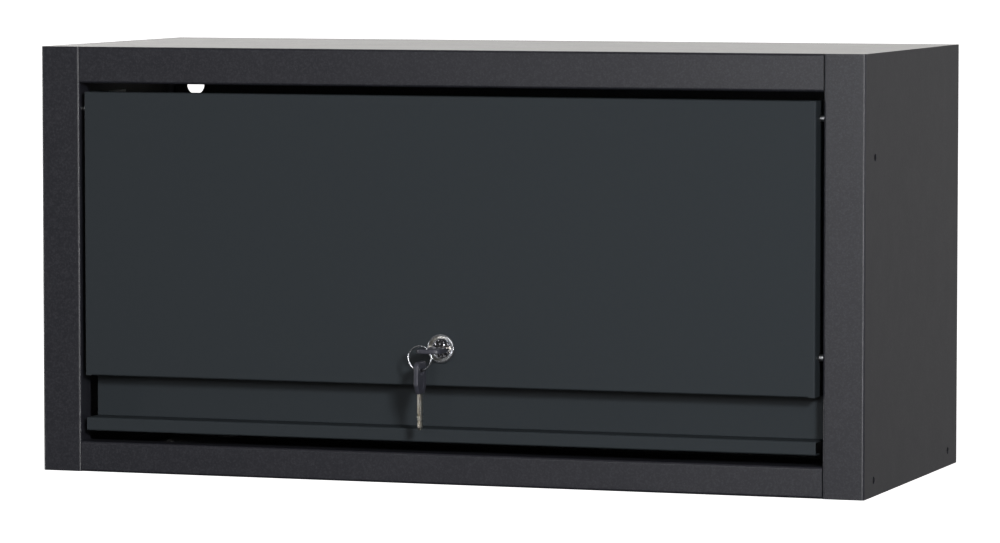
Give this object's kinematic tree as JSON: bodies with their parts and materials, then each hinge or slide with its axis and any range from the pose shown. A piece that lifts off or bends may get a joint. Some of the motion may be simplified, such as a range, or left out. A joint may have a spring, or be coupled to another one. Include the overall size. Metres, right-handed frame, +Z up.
{
  "type": "wall-hung tool cabinet",
  "caption": "Wall-hung sheet-steel tool cabinet with a flip-up door on telescopic stays and a key lock that drives latch rods",
  "frame": {"origin": "middle of the underside of the cabinet", "axes": "+X to the right along the width, +Y to the wall, +Z up"},
  "size_m": [0.7, 0.3406, 0.35],
  "materials": {
    "casing_paint": "fine-texture dark powder coat",
    "door_paint": "smooth satin paint",
    "zinc": "bright zinc plating",
    "chrome": "polished chrome",
    "dark_metal": "dark nickel",
    "nickel": "bright nickel",
    "nylon": "natural nylon",
    "key_plastic": "moulded black plastic",
    "black_plastic": "moulded black plastic",
    "rubber": "matt black rubber"
  },
  "bodies": {
    "cabinet": {"left_side": "casing_paint", "right_side": "casing_paint", "top_panel": "casing_paint", "bottom_panel": "casing_paint", "back_panel": "casing_paint", "left_hinge_pin": "zinc", "right_hinge_pin": "zinc", "left_stay_bracket": "zinc", "right_stay_bracket": "zinc", "left_bracket_stud": "zinc", "right_bracket_stud": "zinc", "left_door_stop": "casing_paint", "right_door_stop": "casing_paint", "left_stop_buffer": "rubber", "right_stop_buffer": "rubber"},
    "door": {"door_panel": "door_paint", "left_hinge_bush": "nylon", "right_hinge_bush": "nylon", "left_door_stud": "zinc", "right_door_stud": "zinc", "left_latch_guide": "nylon", "right_latch_guide": "nylon", "lock_body": "chrome", "lock_nut": "zinc"},
    "lock_core": {"lock_plug": "dark_metal", "lock_cam": "zinc", "cam_screw": "zinc"},
    "left_latch": {"left_latch_rod": "zinc"},
    "right_latch": {"right_latch_rod": "zinc"},
    "left_tube": {"left_stay_tube": "zinc", "left_stay_guide": "black_plastic"},
    "right_tube": {"right_stay_tube": "zinc", "right_stay_guide": "black_plastic"},
    "left_rod": {"left_stay_rod": "chrome"},
    "right_rod": {"right_stay_rod": "chrome"},
    "key": {"key_blade": "nickel", "key_head": "key_plastic"},
    "ring": {"key_ring": "chrome"},
    "spare_key": {"spare_key_blade": "nickel", "spare_key_head": "key_plastic"}
  },
  "joints": [
    {"name": "door_hinge", "type": "hinge", "parent": "cabinet", "child": "door", "pos_m": [0, -0.138, 0.299], "axis": [-1, 0, 0], "range_deg": [0, 90]},
    {"name": "left_tube_swing", "type": "hinge", "parent": "cabinet", "child": "left_tube", "pos_m": [-0.299, 0.00558, 0.27882], "axis": [-1, 0, 0], "range_deg": [0, 45]},
    {"name": "right_tube_swing", "type": "hinge", "parent": "cabinet", "child": "right_tube", "pos_m": [0.299, 0.00558, 0.27882], "axis": [-1, 0, 0], "range_deg": [0, 45]},
    {"name": "left_rod_swing", "type": "hinge", "parent": "door", "child": "left_rod", "pos_m": [-0.299, -0.13294, 0.1541], "axis": [-1, 0, 0], "range_deg": [-45, 0]},
    {"name": "right_rod_swing", "type": "hinge", "parent": "door", "child": "right_rod", "pos_m": [0.299, -0.13294, 0.1541], "axis": [-1, 0, 0], "range_deg": [-45, 0]},
    {"name": "lock_turn", "type": "hinge", "parent": "door", "child": "lock_core", "pos_m": [0, -0.153, 0.1105], "axis": [0, 1, 0], "range_deg": [0, 90]},
    {"name": "left_latch_slide", "type": "slide", "parent": "door", "child": "left_latch", "axis": [-1, 0, 0], "range_m": [0, 0.01414]},
    {"name": "right_latch_slide", "type": "slide", "parent": "door", "child": "right_latch", "axis": [1, 0, 0], "range_m": [0, 0.01414]},
    {"name": "key_slide", "type": "slide", "parent": "lock_core", "child": "key", "axis": [0, -1, 0], "range_m": [0, 0.021]},
    {"name": "ring_turn", "type": "hinge", "parent": "key", "child": "ring", "pos_m": [-0.0086, -0.1801, 0.1046], "axis": [0, 1, 0], "range_deg": [-30, 30]},
    {"name": "spare_key_swing", "type": "hinge", "parent": "ring", "child": "spare_key", "pos_m": [-0.0086, -0.1801, 0.0949], "axis": [1, 0, 0], "range_deg": [-20, 20]}
  ],
  "couplings": [
    {"joint": "left_tube_swing", "follows": "door_hinge", "ratio": 0.5},
    {"joint": "right_tube_swing", "follows": "door_hinge", "ratio": 0.5},
    {"joint": "left_rod_swing", "follows": "door_hinge", "ratio": -0.5},
    {"joint": "right_rod_swing", "follows": "door_hinge", "ratio": -0.5},
    {"joint": "lock_turn", "follows": "left_latch_slide", "rad_per_m": 111.08},
    {"joint": "right_latch_slide", "follows": "left_latch_slide", "ratio": 1}
  ]
}
